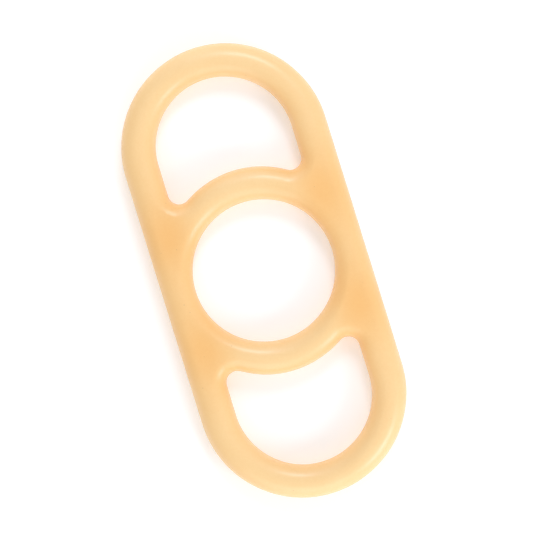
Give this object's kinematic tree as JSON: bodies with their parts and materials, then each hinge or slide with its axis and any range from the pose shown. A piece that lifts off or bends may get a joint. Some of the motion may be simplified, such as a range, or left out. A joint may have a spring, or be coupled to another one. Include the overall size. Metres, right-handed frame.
{
  "type": "elastic ring with finger loops",
  "caption": "Soft elastomer ring held between D-shaped finger loops, which pull the ring open along its length.",
  "frame": {"origin": "centre of the round opening at mid thickness", "axes": "+Y along the length towards finger loop A, +X across the width, +Z through the thickness, up from the surface that the part lies on"},
  "size_m": [0.047, 0.105, 0.0074],
  "materials": {
    "elastomer": "soft, slightly translucent peach elastomer with a smooth satin gloss"
  },
  "bodies": {
    "ring_half_a": {"ring_half_a": "elastomer"},
    "ring_half_b": {"ring_half_b": "elastomer"},
    "finger_loop_a": {"finger_loop_a": "elastomer"},
    "finger_loop_b": {"finger_loop_b": "elastomer"}
  },
  "joints": [
    {"name": "ring_stretch", "type": "slide", "parent": "ring_half_a", "child": "ring_half_b", "axis": [0, -1, 0], "range_m": [0, 0.024], "stiffness_N_per_m": 400},
    {"name": "loop_a_flex", "type": "hinge", "parent": "ring_half_a", "child": "finger_loop_a", "pos_m": [0, 0.027, 0], "axis": [1, 0, 0], "range_deg": [0, 60], "stiffness_Nm_per_rad": 0.0144},
    {"name": "loop_b_flex", "type": "hinge", "parent": "ring_half_b", "child": "finger_loop_b", "pos_m": [0, -0.027, 0], "axis": [-1, 0, 0], "range_deg": [0, 60], "stiffness_Nm_per_rad": 0.0144}
  ]
}
